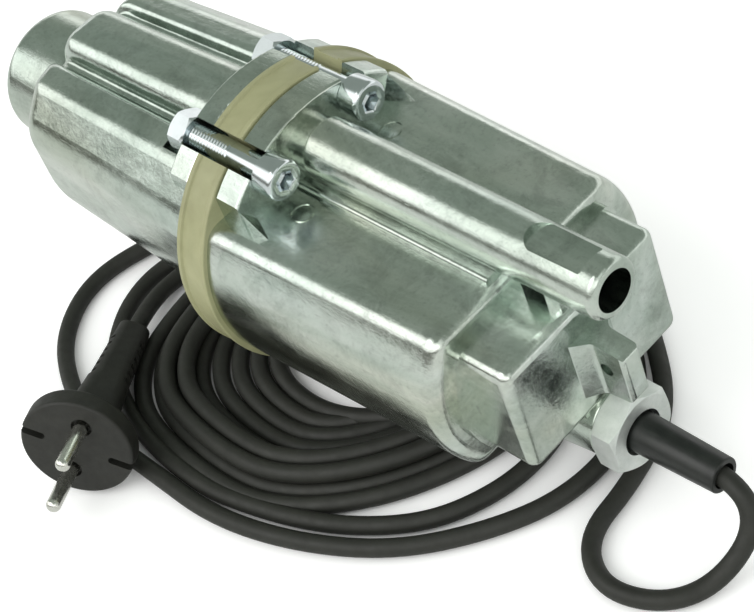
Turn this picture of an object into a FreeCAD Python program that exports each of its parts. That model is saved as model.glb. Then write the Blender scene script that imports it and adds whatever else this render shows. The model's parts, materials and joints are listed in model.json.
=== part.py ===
import FreeCAD, Part
import math
import os

# Submersible vibratory pump. Millimetres, X along the pump from the intake to the cable end,
# Z up through the discharge pipe, origin in the middle of the pump, on its axis.

os.makedirs("parts", exist_ok=True)
V = FreeCAD.Vector

# overall sizes
PUMP_RADIUS = 49.5
HALF_LENGTH = 133.4
WALL = 4.5
FIT = 0.06
GAP = 0.3

# joint between the two housings
GASKET_WIDTH = 12.4
LIP_WIDTH = 1.6
LIP_HEIGHT = 0.7
FLANGE_RADIUS = PUMP_RADIUS - 0.7
INTAKE_FLANGE = 8.8
MOTOR_FLANGE = 9.9
EAR_HALF_WIDTH = 32.5
SCREW_RADIUS = 4.0
SCREW_SIDE = 18.4
SCREW_UP = 38.9
SCREW_LENGTH = 40.0
SCREW_HEAD_RADIUS = 6.5
SCREW_HEAD_LENGTH = 8.0
SCREW_KEY = 6.0
SCREW_KEY_DEPTH = 4.2
HEAD_ROOM = 0.7
NUT_WIDTH = 13.0
NUT_LENGTH = 6.8
NOTCH_WIDTH = 9.4
GASKET_INNER = 29.5
PORT_SEAL_BORE = 4.0

# intake housing
BODY_SIDE = 36.7
BODY_GROWTH = 1.106
BODY_END = -99.5
LOBE_TOP = 38.6
SHOULDER = 10.0
SHOULDER_STEPS = 4
CHEEK_UP = 20.0
CHEEK_EDGE = 16.0
SIDE_LOBE = (25.2, 33.0)
SIDE_LOBE_EDGE = 8.0
SIDE_LOBE_INNER = (16.5, 34.6)
SIDE_LOBE_INNER_EDGE = 3.2
VALLEY = (12.4, 28.2)
VALLEY_EDGE = 1.8
LOBE_HALF_WIDTH = 9.8
LOBE_EDGE = 7.4
BOSS_RADIUS = 22.5
BOSS_RIM = 5.0
BOSS_FILLET = 3.6
PORT_RADIUS = 16.0
PORT_DEPTH = 11.0
PORT_EDGE = 4.0
SUCTION_RADIUS = 15.0
PORT_WEB = 4.0
PORT_HOLES = 6
PORT_HOLE_RADIUS = 2.8
PORT_HOLE_CIRCLE = 8.6
NUT_ROOM = 0.4
CHANNEL_END = -62.0
CHANNEL_END_UP = 32.0
CHANNEL_DROP = 12.0
VALVE_SHANK = 2.6
VALVE_NUT = 3.2
VALVE_SHANK_TIP = 3.6

# motor housing
BARREL_END = 97.8
BARREL_TOP = 27.8
BARREL_BOTTOM = -27.8
BARREL_SIDE_START = 47.9
BARREL_SIDE_END = 44.9
BARREL_CORNER = 6.5
BARREL_RIM = 4.5
LEDGE = 2.4
MARK_X = 27.4
MARK_SIDE = 19.2
MARK_RADIUS = 3.8
MARK_WIDTH = 0.6
MARK_DEPTH = 0.35
GUSSET_WIDTH = 6.0
GUSSET_LENGTH = 9.5
GUSSET_HEIGHT = 7.5
BLOCK_END = 117.0
BLOCK_HALF_WIDTH = 32.1
BLOCK_TOP = 20.6
BLOCK_BOTTOM = -20.7
BLOCK_EDGE = 3.6
PIPE_UP = 35.1
PIPE_ROOT_RADIUS = 10.1
PIPE_END_RADIUS = 9.4
PIPE_NECK_RADIUS = 8.6
PIPE_NECK_END = 21.5
PIPE_BORE = 6.5
PIPE_FLAT_WIDTH = 11.0
PIPE_FLAT_START = 105.4
PIPE_FLAT_END = 127.4
PIPE_FLAT_UP = PIPE_UP + 7.9
PLINTH_WIDTH = 25.0
PLINTH_HEIGHT = 2.2
WEB_WIDTH = 14.4
BRIDGE_WIDTH = 11.0
LUG_END = 132.0
LUG_HALF_THICKNESS = 3.6
LUG_HOLE_RADIUS = 2.2
LUG_HOLE_X = 124.5
LUG_HOLE_UP = 0.1
LUG_ROOT_HALF_WIDTH = 8.5
LUG_TAPER = 4.5
LUG_ROOT_TOP = 10.5
LUG_ROOT_BOTTOM = -12.5
LUG_TOP = 8.2
LUG_BOTTOM = -10.4
LUG_EDGE = 2.2

# cable gland
GLAND_UP = -30.2
GLAND_BOSS_RADIUS = 12.4
GLAND_COLLAR = 1.0
GLAND_NECK_WIDTH = 18.0
GLAND_BOSS_END = 118.2
GLAND_NUT_WIDTH = 24.0
GLAND_NUT_END = 127.2
GLAND_BORE = 6.9
BOOT_RADIUS = 6.3
BOOT_END_RADIUS = 5.6
BOOT_START = 108.0
BOOT_END = 156.6
BOOT_BORE_DEPTH = 6.0

# vibrator, held inside
ROD_RADIUS = 4.0
ROD_START = -83.0
ROD_END = 29.0
PISTON_X = -72.0
PISTON_RADIUS = 23.5
PISTON_THICK = 7.0
CHAMBER_RADIUS = 25.0
CHAMBER_END = -91.0
DIAPHRAGM_X = -32.0
DIAPHRAGM_RADIUS = 27.5
DIAPHRAGM_THICK = 3.0
DIAPHRAGM_SEAT = 26.0
RING_STEP = 1.5
RING_WIDTH = 4.5
ARMATURE_START = 15.0
ARMATURE_LENGTH = 14.0
ARMATURE_WIDTH = 46.0
ARMATURE_HEIGHT = 30.0
AIR_GAP = 3.6
CORE_LENGTH = 46.0
CORE_LEG = 11.5
WINDOW = 23.0
BOBBIN_WALL = 1.0
WINDING_THICK = 6.0

# cable, lying on the floor under the pump
CABLE_RADIUS = 3.0
FLOOR = -56.0
CABLE_UP = FLOOR + CABLE_RADIUS
COIL_LEFT = 8.0
COIL_RIGHT = 34.0
COIL_INNER_LEFT = -8.0
COIL_INNER_RIGHT = 32.0
COIL_Y = -2.0
COIL_INNER = 29.0
COIL_OUTER = 73.0
COIL_HEIGHT = 11.4
COIL_EDGE = 2.6

# plug: centre of its face, the way its pins point, and the line through both pins
PLUG_FACE = V(-27.9, -97.6, -35.9)
PLUG_POINT = V(0.542, -0.816, 0.201)
PLUG_PIN_LINE = V(0.297, 0.410, 0.862)
PLUG_RADIUS = 18.7
PLUG_PLATE = 7.5
PLUG_LENGTH = 58.0
PLUG_BODY_END = 29.0
RIB_COUNT = 6
RIB_PITCH = 3.6
RIB_DEPTH = 1.4
NECK_START = 6.6
NECK_END = 5.4
PIN_RADIUS = 2.4
PIN_LENGTH = 19.0
PIN_SPACING = 19.0
PLUG_CABLE_LEAD = 18.0


def place_yz(x):
    """points of a cross-section: across the pump, then up"""
    return lambda a, b: V(x, a, b)


def place_xz(y=0.0, up=0.0):
    """points of a side view: along the pump, then up"""
    return lambda a, b: V(a, y, up + b)


def place_xy(z):
    """points of a plan view"""
    return lambda a, b: V(a, b, z)


def outline(corners, place):
    """closed wire through corners given as (a, b, rounding radius)"""
    edges = []
    count = len(corners)
    ends = []
    for i in range(count):
        a, b, radius = corners[i]
        here = V(a, b, 0)
        before = V(corners[i - 1][0], corners[i - 1][1], 0)
        after = V(corners[(i + 1) % count][0], corners[(i + 1) % count][1], 0)
        to_before = (before - here).normalize()
        to_after = (after - here).normalize()
        half_turn = (math.pi - to_before.getAngle(to_after)) / 2
        if radius <= 0 or half_turn < 1e-4:
            ends.append((here, here, None))
            continue
        back = radius * math.tan(half_turn)
        start = here + to_before * back
        finish = here + to_after * back
        inward = (to_before + to_after).normalize()
        middle = here + inward * (radius / math.cos(half_turn) - radius)
        ends.append((start, finish, middle))
    for i in range(count):
        start, finish, middle = ends[i]
        if middle is not None:
            points = [place(p.x, p.y) for p in (start, middle, finish)]
            edges.append(Part.Arc(*points).toShape())
        following = ends[(i + 1) % count][0]
        if (following - finish).Length > 1e-5:
            line = Part.LineSegment(place(finish.x, finish.y), place(following.x, following.y))
            edges.append(line.toShape())
    return Part.Wire(edges)


def prism(corners, place, direction):
    """outline filled and pushed along a direction"""
    return Part.Face(outline(corners, place)).extrude(direction)


def turned(corners, up=0.0, y=0.0):
    """side-view outline of (x, radius, rounding) turned about a line along X"""
    face = Part.Face(outline(corners, place_xz(y, up)))
    return face.revolve(V(0, y, up), V(1, 0, 0), 360)


def rod(radius, start, end, y=0.0, z=0.0):
    return Part.makeCylinder(radius, end - start, V(start, y, z), V(1, 0, 0))


def tube(outer, inner, start, end, y=0.0, z=0.0):
    return rod(outer, start, end, y, z).cut(rod(inner, start - 1, end + 1, y, z))


def hexagon(width, start, end, y=0.0, z=0.0, chamfer=0.0):
    """hexagonal bar along X with one corner up; width is across the flats"""
    radius = width / math.sqrt(3)
    turns = [math.radians(60 * i) for i in range(6)]
    corners = [(y + radius * math.sin(turn), z + radius * math.cos(turn), 0) for turn in turns]
    bar = prism(corners, place_yz(start), V(end - start, 0, 0))
    if chamfer:
        rim = radius - width / 2 + 0.1
        side_view = [(start, 0, 0), (start, radius - rim, 0), (start + chamfer, radius, 0),
                     (end - chamfer, radius, 0), (end, radius - rim, 0), (end, 0, 0)]
        bar = bar.common(turned(side_view, z, y))
    return bar


def block(x0, x1, y0, y1, z0, z1, edge=0.0):
    """box with its four edges along X rounded"""
    corners = [(y0, z0, edge), (y1, z0, edge), (y1, z1, edge), (y0, z1, edge)]
    return prism(corners, place_yz(x0), V(x1 - x0, 0, 0))


def screw_places():
    return [(side * SCREW_SIDE, up * SCREW_UP) for side in (-1, 1) for up in (-1, 1)]


def notch(start, end, y, z, width):
    """open slot that a clamp screw drops into from outside"""
    outward = V(0, y, z).normalize()
    sideways = V(0, -outward.z, outward.y) * (width / 2)
    centre = V(start, y, z)
    reach = outward * (PUMP_RADIUS - V(0, y, z).Length + 4)
    points = [centre + sideways, centre + sideways + reach, centre - sideways + reach, centre - sideways]
    slot = Part.Face(Part.makePolygon(points + [points[0]])).extrude(V(end - start, 0, 0))
    return slot.fuse(rod(width / 2, start, end, y, z))


def flange(start, end):
    """clamp plate: a disc that is cut off beside the ears"""
    disc = turned([(start, 0, 0), (start, FLANGE_RADIUS, 1.0), (end, FLANGE_RADIUS, 1.0), (end, 0, 0)])
    return disc.common(block(start, end, -EAR_HALF_WIDTH, EAR_HALF_WIDTH, -PUMP_RADIUS, PUMP_RADIUS))


def intake_section(x, size):
    """cross-section of the intake body: round below, two side lobes and the water channel's lobe above"""
    side = BODY_SIDE
    half = [(side, -side, side * 0.999), (side, CHEEK_UP, CHEEK_EDGE), (*SIDE_LOBE, SIDE_LOBE_EDGE),
            (*SIDE_LOBE_INNER, SIDE_LOBE_INNER_EDGE), (*VALLEY, VALLEY_EDGE),
            (LOBE_HALF_WIDTH, LOBE_TOP, LOBE_EDGE)]
    mirrored = [(-a, b, r) for a, b, r in reversed(half)]
    corners = [(a * size, b * size, r * size) for a, b, r in half + mirrored]
    return outline(corners, place_yz(x))


def intake_housing():
    face = -GASKET_WIDTH / 2
    shoulder_start = BODY_END + SHOULDER
    body = Part.makeLoft([intake_section(face, BODY_GROWTH), intake_section(shoulder_start, 1.0)], True, True)
    rings = []
    for i in range(SHOULDER_STEPS + 1):
        turn = math.pi / 2 * i / SHOULDER_STEPS
        size = 1 - SHOULDER / BODY_SIDE * (1 - math.cos(turn))
        rings.append(intake_section(shoulder_start - SHOULDER * math.sin(turn), size))
    body = body.fuse(Part.makeLoft(rings, True, False))
    boss = turned([(shoulder_start, 0, 0), (shoulder_start, BOSS_RADIUS, 0),
                   (-HALF_LENGTH, BOSS_RADIUS, BOSS_RIM), (-HALF_LENGTH, 0, 0)])
    shape = body.fuse([boss, boss_fillet()])
    shape = shape.fuse(flange(face - INTAKE_FLANGE, face))
    for y, z in screw_places():
        shape = shape.cut(notch(face - INTAKE_FLANGE, face, y, z, NOTCH_WIDTH))
        bearing = face - INTAKE_FLANGE
        pocket = NUT_WIDTH / math.sqrt(3) + NUT_ROOM
        shape = shape.cut(rod(pocket, bearing - NUT_LENGTH - SCREW_RADIUS, bearing, y, z))
    return shape.cut(intake_cavity()).removeSplitter()


def boss_fillet():
    """hollow curve between the body's end and the boss"""
    root = BODY_END + BOSS_FILLET
    tip = BODY_END - BOSS_FILLET
    inside = BOSS_RADIUS - BOSS_FILLET
    outside = BOSS_RADIUS + BOSS_FILLET
    return turned([(root, inside, 0), (root, outside, 0), (BODY_END, outside, 0),
                   (BODY_END, BOSS_RADIUS, BOSS_FILLET * 0.999), (tip, BOSS_RADIUS, 0), (tip, inside, 0)])


def intake_cavity():
    """chambers for the diaphragm and the piston, the water channel and the intake port"""
    face = -GASKET_WIDTH / 2
    front = DIAPHRAGM_X + DIAPHRAGM_THICK
    ring_room = DIAPHRAGM_RADIUS + RING_STEP
    chamber = turned([(face + 1, 0, 0), (face + 1, ring_room, 0), (front, ring_room, 0),
                      (front, DIAPHRAGM_RADIUS, 0), (DIAPHRAGM_X, DIAPHRAGM_RADIUS, 0),
                      (DIAPHRAGM_X, DIAPHRAGM_SEAT, 0), (CHAMBER_END, CHAMBER_RADIUS, 6),
                      (CHAMBER_END, 0, 0)])
    inner_web = -HALF_LENGTH + PORT_DEPTH + PORT_WEB
    suction = turned([(CHAMBER_END + 1, 0, 0), (CHAMBER_END + 1, SUCTION_RADIUS, 0),
                      (inner_web, SUCTION_RADIUS, 2), (inner_web, 0, 0)])
    floor = -HALF_LENGTH + PORT_DEPTH
    mouth = turned([(-HALF_LENGTH - 1, 0, 0), (-HALF_LENGTH - 1, PORT_RADIUS, 0),
                    (floor, PORT_RADIUS, PORT_EDGE), (floor, 0, 0)])
    channel_start = V(face + 1, 0, PIPE_UP)
    channel_end = V(CHANNEL_END, 0, CHANNEL_END_UP)
    run = channel_end - channel_start
    channel = Part.makeCylinder(PORT_SEAL_BORE, run.Length, channel_start, run)
    drop = Part.makeCylinder(PORT_SEAL_BORE, CHANNEL_DROP, channel_end, V(0, 0, -1))
    tools = chamber.fuse([suction, mouth, channel, drop])
    for i in range(PORT_HOLES):
        turn = 2 * math.pi * i / PORT_HOLES
        y = PORT_HOLE_CIRCLE * math.sin(turn)
        z = PORT_HOLE_CIRCLE * math.cos(turn)
        tools = tools.fuse(rod(PORT_HOLE_RADIUS, -HALF_LENGTH, inner_web + 1, y, z))
    return tools.fuse(rod(VALVE_SHANK, -HALF_LENGTH, inner_web + 1))


def barrel_section(x, side, inset=0.0):
    """round sides between a flat top and a flat bottom"""
    side = side - inset
    top = BARREL_TOP - inset
    bottom = BARREL_BOTTOM + inset
    corner = BARREL_CORNER - inset * 0.5
    points = {}
    for name, up in (("top", top), ("bottom", bottom)):
        inside = abs(up) - corner
        across = math.sqrt((side - corner) ** 2 - inside ** 2)
        sign = 1 if up > 0 else -1
        out = V(0, across, sign * inside).normalize()
        centre = V(0, across, sign * inside)
        halfway = (out + V(0, 0, sign)).normalize()
        points[name] = (V(0, across, up), centre + halfway * corner, out * side)
    top_flat, top_mid, top_side = points["top"]
    low_flat, low_mid, low_side = points["bottom"]
    right = [Part.Arc(top_flat, top_mid, top_side).toShape(),
             Part.Arc(top_side, V(0, side, 0), low_side).toShape(),
             Part.Arc(low_side, low_mid, low_flat).toShape()]
    left = [edge.mirror(V(0, 0, 0), V(0, 1, 0)) for edge in right]
    flats = [Part.LineSegment(V(0, -p.y, p.z), p).toShape() for p in (top_flat, low_flat)]
    ring = Part.Wire(Part.__sortEdges__([flats[0]] + right + [flats[1]] + left))
    ring.translate(V(x, 0, 0))
    return ring


def end_edges(shape, x):
    return [e for e in shape.Edges if all(abs(v.X - x) < 1e-3 for v in e.Vertexes)]


def barrel():
    start = GASKET_WIDTH / 2
    sections = [barrel_section(start, BARREL_SIDE_START), barrel_section(BARREL_END, BARREL_SIDE_END)]
    shape = Part.makeLoft(sections, True, True)
    return shape.makeFillet(BARREL_RIM, end_edges(shape, BARREL_END))


def end_block():
    """block that closes the barrel, on a low ledge, with its face edges rounded"""
    ledge = Part.Face(barrel_section(BARREL_END - 1, BARREL_SIDE_END, 7.0)).extrude(V(LEDGE + 1, 0, 0))
    body = block(BARREL_END - 1, BLOCK_END, -BLOCK_HALF_WIDTH, BLOCK_HALF_WIDTH, BLOCK_BOTTOM, BLOCK_TOP,
                 BLOCK_EDGE)
    body = body.makeFillet(BLOCK_EDGE * 0.9, end_edges(body, BLOCK_END))
    return ledge.fuse(body)


def discharge_pipe():
    pipe = turned([(GASKET_WIDTH / 2, 0, 0), (GASKET_WIDTH / 2, PIPE_NECK_RADIUS, 0),
                   (PIPE_NECK_END, PIPE_NECK_RADIUS, 0), (PIPE_NECK_END, PIPE_ROOT_RADIUS, 1.4),
                   (HALF_LENGTH, PIPE_END_RADIUS, 2.2), (HALF_LENGTH, 0, 0)], PIPE_UP)
    start = PIPE_NECK_END - 6
    plinth = block(start, BARREL_END - 2, -PLINTH_WIDTH / 2, PLINTH_WIDTH / 2, BARREL_TOP - 3,
                   BARREL_TOP + PLINTH_HEIGHT, PLINTH_HEIGHT * 0.6)
    web = block(start, BARREL_END + 6, -WEB_WIDTH / 2, WEB_WIDTH / 2, BLOCK_TOP - 1, PIPE_UP)
    bridge = block(BLOCK_END - 7, BLOCK_END - 1.5, -BRIDGE_WIDTH / 2, BRIDGE_WIDTH / 2, BLOCK_TOP - 1,
                   PIPE_UP)
    flat = prism([(PIPE_FLAT_START, -PIPE_FLAT_WIDTH / 2, PIPE_FLAT_WIDTH * 0.46),
                  (PIPE_FLAT_END, -PIPE_FLAT_WIDTH / 2, 1.5), (PIPE_FLAT_END, PIPE_FLAT_WIDTH / 2, 1.5),
                  (PIPE_FLAT_START, PIPE_FLAT_WIDTH / 2, PIPE_FLAT_WIDTH * 0.46)],
                 place_xy(PIPE_FLAT_UP), V(0, 0, 10))
    return pipe.cut(flat).fuse([plinth, web, bridge])


def rope_lug():
    """rounded wedge with an eye, on the end block above the gland"""
    root = BLOCK_END - 2
    width = 2 * LUG_ROOT_HALF_WIDTH
    side = prism([(root, LUG_ROOT_TOP, 0), (LUG_END, LUG_TOP, LUG_EDGE), (LUG_END, LUG_BOTTOM, LUG_EDGE),
                  (root, LUG_ROOT_BOTTOM, 0)], place_xz(-width / 2), V(0, width, 0))
    taper_end = BLOCK_END + LUG_TAPER
    half = [(root, LUG_ROOT_HALF_WIDTH, 0), (BLOCK_END, LUG_ROOT_HALF_WIDTH, 1),
            (taper_end, LUG_HALF_THICKNESS, 3), (LUG_END, LUG_HALF_THICKNESS, 1.5)]
    mirrored = [(x, -y, radius) for x, y, radius in reversed(half)]
    plan = prism(half + mirrored, place_xy(LUG_ROOT_BOTTOM), V(0, 0, LUG_ROOT_TOP - LUG_ROOT_BOTTOM))
    return side.common(plan)


def gland_boss():
    """round socket for the cable gland, running out of the barrel's underside"""
    base = BARREL_END - 10
    wide = GLAND_BOSS_RADIUS + GLAND_COLLAR
    boss = turned([(base, 0, 0), (base, wide - 4, 0), (BARREL_END + 1, wide, 6),
                   (BARREL_END + 9, GLAND_BOSS_RADIUS + 0.4, 3),
                   (GLAND_BOSS_END, GLAND_BOSS_RADIUS - 0.6, 0.8), (GLAND_BOSS_END, 0, 0)], GLAND_UP)
    neck = block(BARREL_END - 1, BLOCK_END - 1.5, -GLAND_NECK_WIDTH / 2, GLAND_NECK_WIDTH / 2, GLAND_UP,
                 BLOCK_BOTTOM + 3)
    return boss.fuse(neck)


def gusset(side):
    """corner web between an end of the flange's ear and the flat top of the barrel"""
    start = GASKET_WIDTH / 2 + MOTOR_FLANGE
    foot = BARREL_TOP - 1
    outer = side * (EAR_HALF_WIDTH - 0.3)
    inner = side * (EAR_HALF_WIDTH - GUSSET_WIDTH)
    root = outline([(outer, foot, 0), (outer, BARREL_TOP + GUSSET_HEIGHT, 0), (inner, foot, 0)],
                   place_yz(start - 1))
    tip = outline([(outer, foot, 0), (outer, BARREL_TOP + 0.1, 0), (outer - side, foot, 0)],
                  place_yz(start + GUSSET_LENGTH))
    return Part.makeLoft([root, tip], True, True)


def motor_housing():
    face = GASKET_WIDTH / 2
    bearing = face + MOTOR_FLANGE
    added = [flange(face, bearing), end_block(), discharge_pipe(), rope_lug(), gland_boss()]
    added += [gusset(-1), gusset(1)]
    shape = barrel().fuse(added)
    head_end = bearing + SCREW_HEAD_LENGTH
    for y, z in screw_places():
        shape = shape.cut(notch(face, bearing, y, z, NOTCH_WIDTH))
        shape = shape.cut(rod(SCREW_HEAD_RADIUS + HEAD_ROOM, bearing, head_end + 2 * HEAD_ROOM, y, z))
    shape = shape.cut(rod(PIPE_BORE, face - 1, HALF_LENGTH + 1, 0, PIPE_UP))
    hole = Part.makeCylinder(LUG_HOLE_RADIUS, 20, V(LUG_HOLE_X, -10, LUG_HOLE_UP), V(0, 1, 0))
    shape = shape.cut(hole)
    shape = shape.cut(motor_cavity())
    for side in (-1, 1):
        shape = shape.cut(ejector_mark(MARK_X, side * MARK_SIDE))
    return shape.removeSplitter()


def ejector_mark(x, y):
    """shallow ring left on the flat top by an ejector pin of the mould"""
    foot = V(x, y, BARREL_TOP - MARK_DEPTH)
    ring = Part.makeCylinder(MARK_RADIUS, 1.0, foot, V(0, 0, 1))
    core = Part.makeCylinder(MARK_RADIUS - MARK_WIDTH, 1.0, foot, V(0, 0, 1))
    return ring.cut(core)


def motor_cavity():
    """room for the armature and the potted magnet, and the bore for the cable's boot"""
    face = GASKET_WIDTH / 2
    section = Part.Face(barrel_section(face - 1, BARREL_SIDE_END, WALL))
    room = section.extrude(V(BARREL_END - WALL - face + 1, 0, 0))
    gland = rod(GLAND_BORE + 1.6, BARREL_END - WALL - 1, GLAND_BOSS_END + 1, 0, GLAND_UP)
    return room.fuse(gland)


def joint_gasket():
    """visible olive ring with raised lips and open notches for the screws"""
    half = GASKET_WIDTH / 2
    floor_radius = PUMP_RADIUS - LIP_HEIGHT
    ring = turned([(-half, GASKET_INNER, 0), (-half, PUMP_RADIUS, 0.5), (-half + LIP_WIDTH, PUMP_RADIUS, 0.3),
                   (-half + LIP_WIDTH + 0.5, floor_radius, 0), (half - LIP_WIDTH - 0.5, floor_radius, 0),
                   (half - LIP_WIDTH, PUMP_RADIUS, 0.3), (half, PUMP_RADIUS, 0.5), (half, GASKET_INNER, 0)])
    for y, z in screw_places():
        ring = ring.cut(notch(-half, half, y, z, NOTCH_WIDTH))
    return ring.cut(rod(PORT_SEAL_BORE, -half - 1, half + 1, 0, PIPE_UP))


def clamp_screw(y, z):
    """socket cap screw; its thread is left to the surface finish"""
    bearing = GASKET_WIDTH / 2 + MOTOR_FLANGE
    tip = bearing - SCREW_LENGTH
    head_end = bearing + SCREW_HEAD_LENGTH
    head = turned([(bearing, 0, 0), (bearing, SCREW_HEAD_RADIUS, 0.3), (head_end, SCREW_HEAD_RADIUS, 0.9),
                   (head_end, 0, 0)], z, y)
    key = hexagon(SCREW_KEY, head_end - SCREW_KEY_DEPTH, head_end + 1, y, z)
    shank = turned([(bearing + 1, 0, 0), (bearing + 1, SCREW_RADIUS, 0), (tip + 0.9, SCREW_RADIUS, 0),
                    (tip, SCREW_RADIUS - 0.9, 0), (tip, 0, 0)], z, y)
    return head.fuse(shank).cut(key)


def clamp_nut(y, z):
    outer = -GASKET_WIDTH / 2 - INTAKE_FLANGE
    nut = hexagon(NUT_WIDTH, outer - NUT_LENGTH, outer, y, z, 0.8)
    return nut.cut(rod(SCREW_RADIUS + FIT, outer - NUT_LENGTH - 1, outer + 1, y, z))


def gland_nut():
    nut = hexagon(GLAND_NUT_WIDTH, GLAND_BOSS_END, GLAND_NUT_END, 0, GLAND_UP, 1.2)
    nut = nut.cut(rod(GLAND_BORE + 0.5, GLAND_BOSS_END - 1, GLAND_NUT_END + 1, 0, GLAND_UP))
    spigot = tube(GLAND_BORE + 1.5, GLAND_BORE + 0.5, GLAND_BOSS_END - 5, GLAND_BOSS_END + 1, 0, GLAND_UP)
    return nut.fuse(spigot).removeSplitter()


def gland_washer():
    return tube(GLAND_BORE + 1.5, BOOT_RADIUS + FIT, GLAND_BOSS_END - 6.4, GLAND_BOSS_END - 5, 0, GLAND_UP)


def gland_seal():
    return tube(GLAND_BORE + 1.5, BOOT_RADIUS + FIT, GLAND_BOSS_END - 16.4, GLAND_BOSS_END - 6.4, 0, GLAND_UP)


def cable_boot():
    outside = turned([(BOOT_START, 0, 0), (BOOT_START, BOOT_RADIUS, 0.8), (GLAND_NUT_END, BOOT_RADIUS, 0),
                      (BOOT_END, BOOT_END_RADIUS, 0.6), (BOOT_END, 0, 0)], GLAND_UP)
    hollow = rod(CABLE_RADIUS + 1.0, BOOT_END - BOOT_BORE_DEPTH, BOOT_END + 1, 0, GLAND_UP)
    return outside.cut(hollow)


def magnet_core():
    """U-shaped stack of laminations, its poles facing the armature"""
    start = ARMATURE_START + ARMATURE_LENGTH + AIR_GAP
    outer = WINDOW / 2 + CORE_LEG
    half = ARMATURE_HEIGHT / 2
    back = block(start + CORE_LENGTH - CORE_LEG, start + CORE_LENGTH, -outer, outer, -half, half)
    legs = [block(start, start + CORE_LENGTH - CORE_LEG, s * (outer + WINDOW / 2) / 2 - CORE_LEG / 2,
                  s * (outer + WINDOW / 2) / 2 + CORE_LEG / 2, -half, half) for s in (-1, 1)]
    return back.fuse(legs).removeSplitter()


def around_leg(side, start, end, inner_grow, outer_grow):
    """square sleeve around one leg of the core"""
    middle = side * (WINDOW / 2 + CORE_LEG / 2)
    half = ARMATURE_HEIGHT / 2
    outer = block(start, end, middle - CORE_LEG / 2 - outer_grow, middle + CORE_LEG / 2 + outer_grow,
                  -half - outer_grow * 0.5, half + outer_grow * 0.5, 1.0)
    hole = block(start - 1, end + 1, middle - CORE_LEG / 2 - inner_grow, middle + CORE_LEG / 2 + inner_grow,
                 -half - inner_grow, half + inner_grow)
    return outer.cut(hole)


def coil_span():
    start = ARMATURE_START + ARMATURE_LENGTH + AIR_GAP + 5.0
    return start, start + CORE_LENGTH - CORE_LEG - 6.0


def coil_bobbins():
    start, end = coil_span()
    bobbins = []
    for side in (-1, 1):
        sleeve = around_leg(side, start, end, FIT, BOBBIN_WALL + 1.0)
        sleeve = sleeve.fuse(around_leg(side, start, start + BOBBIN_WALL, FIT, WINDING_THICK + 2.6))
        sleeve = sleeve.fuse(around_leg(side, end - BOBBIN_WALL, end, FIT, WINDING_THICK + 2.6))
        bobbins.append(sleeve.removeSplitter())
    return Part.Compound(bobbins)


def coil_windings():
    start, end = coil_span()
    windings = []
    for side in (-1, 1):
        ring = around_leg(side, start + BOBBIN_WALL, end - BOBBIN_WALL, BOBBIN_WALL + 0.2, WINDING_THICK + 1.8)
        tool = around_leg(side, start, end, FIT, BOBBIN_WALL + 1.0)
        windings.append(ring.cut(tool))
    return Part.Compound(windings)


def potting_compound():
    """resin that fills the barrel around the magnet, level with its poles"""
    start = ARMATURE_START + ARMATURE_LENGTH + AIR_GAP + 0.4
    section = Part.Face(barrel_section(start, BARREL_SIDE_END, WALL + 0.05))
    fill = section.extrude(V(BARREL_END - WALL - 0.05 - start, 0, 0))
    fill = fill.cut(magnet_core())
    core_start, core_end = coil_span()
    for side in (-1, 1):
        middle = side * (WINDOW / 2 + CORE_LEG / 2)
        grow = WINDING_THICK + 2.6
        half = ARMATURE_HEIGHT / 2 + grow * 0.5
        fill = fill.cut(block(core_start, core_end, middle - CORE_LEG / 2 - grow, middle + CORE_LEG / 2 + grow,
                              -half, half, 1.0))
    fill = fill.cut(rod(ROD_RADIUS + 4, start - 1, ROD_END + 8))
    return fill


def armature():
    plate = block(ARMATURE_START, ARMATURE_START + ARMATURE_LENGTH, -ARMATURE_WIDTH / 2, ARMATURE_WIDTH / 2,
                  -ARMATURE_HEIGHT / 2, ARMATURE_HEIGHT / 2, 1.5)
    return plate.cut(rod(ROD_RADIUS + 1.0, ARMATURE_START - 1, ARMATURE_START + ARMATURE_LENGTH + 1))


def vibrator_rod():
    return turned([(ROD_START, 0, 0), (ROD_START, ROD_RADIUS, 0.8), (ARMATURE_START, ROD_RADIUS, 0),
                   (ARMATURE_START, ROD_RADIUS + 1.0, 0), (ROD_END, ROD_RADIUS + 1.0, 0.6), (ROD_END, 0, 0)])


def shock_absorber():
    """thick rubber disc inside the gasket, thinner towards the rod"""
    half = GASKET_WIDTH / 2
    hub = 11.0
    waist = half - 2.6
    rim = GASKET_INNER - 3.5
    bore = ROD_RADIUS + FIT
    side = [(half - 2.2, bore, 0), (half, hub, 1), (waist, hub + 6, 1), (waist, rim - 3, 1), (half, rim, 1),
            (half, GASKET_INNER, 0)]
    mirrored = [(-x, radius, edge) for x, radius, edge in reversed(side)]
    return turned(side + mirrored)


def absorber_washers():
    """stop washers on the rod, one each side of the shock absorber"""
    half = GASKET_WIDTH / 2
    near = tube(13.0, ROD_RADIUS, ARMATURE_START - 2.5, ARMATURE_START)
    far = tube(13.0, ROD_RADIUS, -half - 5.3, -half - 2.8)
    return Part.Compound([near, far])


def spacer_sleeve():
    half = GASKET_WIDTH / 2
    return tube(6.5, ROD_RADIUS, DIAPHRAGM_X + 7.4, -half - 5.3)


def diaphragm():
    """rubber diaphragm clamped at its rim, with one rolled wave"""
    rear = DIAPHRAGM_X
    front = DIAPHRAGM_X + DIAPHRAGM_THICK
    bore = ROD_RADIUS + FIT
    rim = DIAPHRAGM_RADIUS - RING_WIDTH - 1
    return turned([(rear + 2.5, bore, 0), (rear + 2.5, 9.0, 1), (rear + 4.2, 13.0, 2), (rear + 4.2, 17.0, 2),
                   (rear, 21.5, 2), (rear, DIAPHRAGM_RADIUS, 0), (front, DIAPHRAGM_RADIUS, 0),
                   (front, rim, 1), (rear + 6.4, 17.5, 1), (rear + 6.4, 12.0, 1), (rear + 5.0, 9.0, 0), (rear + 5.0, bore, 0)])


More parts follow.
